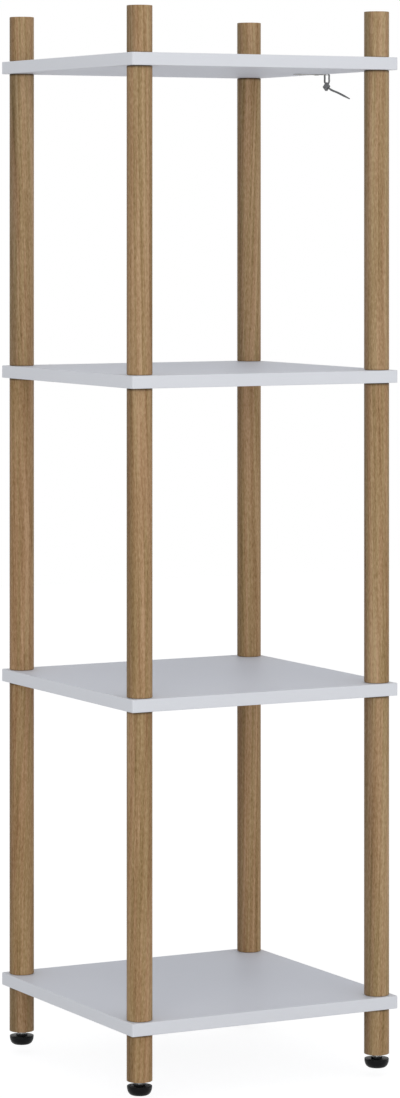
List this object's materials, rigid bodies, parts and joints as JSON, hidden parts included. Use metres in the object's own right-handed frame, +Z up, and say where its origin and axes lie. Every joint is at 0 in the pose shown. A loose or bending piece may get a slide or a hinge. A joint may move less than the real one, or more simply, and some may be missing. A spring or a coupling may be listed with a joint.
{
  "type": "corner shelf",
  "caption": "Tall open corner shelf: square white boards clamped between round oak posts, on screw-adjusted levelling feet, with an anti-tip wall bracket and tie under the top board.",
  "frame": {"origin": "on the floor, below the centre of the boards", "axes": "+Z up; the front faces -Y; the two wall sides face +X and +Y"},
  "size_m": [0.3923, 0.38, 1.3479],
  "materials": {
    "white_melamine": "satin white melamine on particle board",
    "oak": "oiled oak, grain along the post",
    "zinc_steel": "zinc plated",
    "black_plastic": "moulded, fine matt",
    "grey_nylon": "moulded nylon"
  },
  "bodies": {
    "shelf_frame": {"bottom_shelf": "white_melamine", "lower_shelf": "white_melamine", "upper_shelf": "white_melamine", "top_shelf": "white_melamine", "leg_front_left": "oak", "leg_front_right": "oak", "leg_back_left": "oak", "leg_back_right": "oak", "lower_post_front_left": "oak", "lower_post_front_right": "oak", "lower_post_back_left": "oak", "lower_post_back_right": "oak", "middle_post_front_left": "oak", "middle_post_front_right": "oak", "middle_post_back_left": "oak", "middle_post_back_right": "oak", "upper_post_front_left": "oak", "upper_post_front_right": "oak", "upper_post_back_left": "oak", "upper_post_back_right": "oak", "finial_front_left": "oak", "finial_front_right": "oak", "finial_back_left": "oak", "finial_back_right": "oak", "bottom_stud_front_left": "zinc_steel", "bottom_stud_front_right": "zinc_steel", "bottom_stud_back_left": "zinc_steel", "bottom_stud_back_right": "zinc_steel", "lower_stud_front_left": "zinc_steel", "lower_stud_front_right": "zinc_steel", "lower_stud_back_left": "zinc_steel", "lower_stud_back_right": "zinc_steel", "upper_stud_front_left": "zinc_steel", "upper_stud_front_right": "zinc_steel", "upper_stud_back_left": "zinc_steel", "upper_stud_back_right": "zinc_steel", "top_stud_front_left": "zinc_steel", "top_stud_front_right": "zinc_steel", "top_stud_back_left": "zinc_steel", "top_stud_back_right": "zinc_steel", "foot_insert_front_left": "zinc_steel", "foot_insert_front_right": "zinc_steel", "foot_insert_back_left": "zinc_steel", "foot_insert_back_right": "zinc_steel", "wall_bracket": "zinc_steel", "bracket_screw_inner": "zinc_steel", "bracket_screw_outer": "zinc_steel"},
    "pad_front_left": {"foot_pad_front_left": "black_plastic"},
    "pad_front_right": {"foot_pad_front_right": "black_plastic"},
    "pad_back_left": {"foot_pad_back_left": "black_plastic"},
    "pad_back_right": {"foot_pad_back_right": "black_plastic"},
    "spindle_front_left": {"foot_spindle_front_left": "zinc_steel"},
    "spindle_front_right": {"foot_spindle_front_right": "zinc_steel"},
    "spindle_back_left": {"foot_spindle_back_left": "zinc_steel"},
    "spindle_back_right": {"foot_spindle_back_right": "zinc_steel"},
    "tie": {"cable_tie": "grey_nylon"}
  },
  "joints": [
    {"name": "foot_height_front_left", "type": "slide", "parent": "shelf_frame", "child": "pad_front_left", "axis": [0, 0, -1], "range_m": [0, 0.01]},
    {"name": "foot_height_front_right", "type": "slide", "parent": "shelf_frame", "child": "pad_front_right", "axis": [0, 0, -1], "range_m": [0, 0.01]},
    {"name": "foot_height_back_left", "type": "slide", "parent": "shelf_frame", "child": "pad_back_left", "axis": [0, 0, -1], "range_m": [0, 0.01]},
    {"name": "foot_height_back_right", "type": "slide", "parent": "shelf_frame", "child": "pad_back_right", "axis": [0, 0, -1], "range_m": [0, 0.01]},
    {"name": "foot_turn_front_left", "type": "hinge", "parent": "pad_front_left", "child": "spindle_front_left", "pos_m": [-0.17, -0.17, 0.0115], "axis": [0, 0, -1], "range_deg": [0, 2880]},
    {"name": "foot_turn_front_right", "type": "hinge", "parent": "pad_front_right", "child": "spindle_front_right", "pos_m": [0.17, -0.17, 0.0115], "axis": [0, 0, -1], "range_deg": [0, 2880]},
    {"name": "foot_turn_back_left", "type": "hinge", "parent": "pad_back_left", "child": "spindle_back_left", "pos_m": [-0.17, 0.17, 0.0115], "axis": [0, 0, -1], "range_deg": [0, 2880]},
    {"name": "foot_turn_back_right", "type": "hinge", "parent": "pad_back_right", "child": "spindle_back_right", "pos_m": [0.17, 0.17, 0.0115], "axis": [0, 0, -1], "range_deg": [0, 2880]},
    {"name": "tie_swing", "type": "hinge", "parent": "shelf_frame", "child": "tie", "pos_m": [0.19226, -0.00357, 1.2727], "axis": [0.9781, 0.2079, 0], "range_deg": [-15, 15]}
  ],
  "couplings": [
    {"joint": "foot_turn_front_left", "follows": "foot_height_front_left", "rad_per_m": 5026.5},
    {"joint": "foot_turn_front_right", "follows": "foot_height_front_right", "rad_per_m": 5026.5},
    {"joint": "foot_turn_back_left", "follows": "foot_height_back_left", "rad_per_m": 5026.5},
    {"joint": "foot_turn_back_right", "follows": "foot_height_back_right", "rad_per_m": 5026.5}
  ]
}
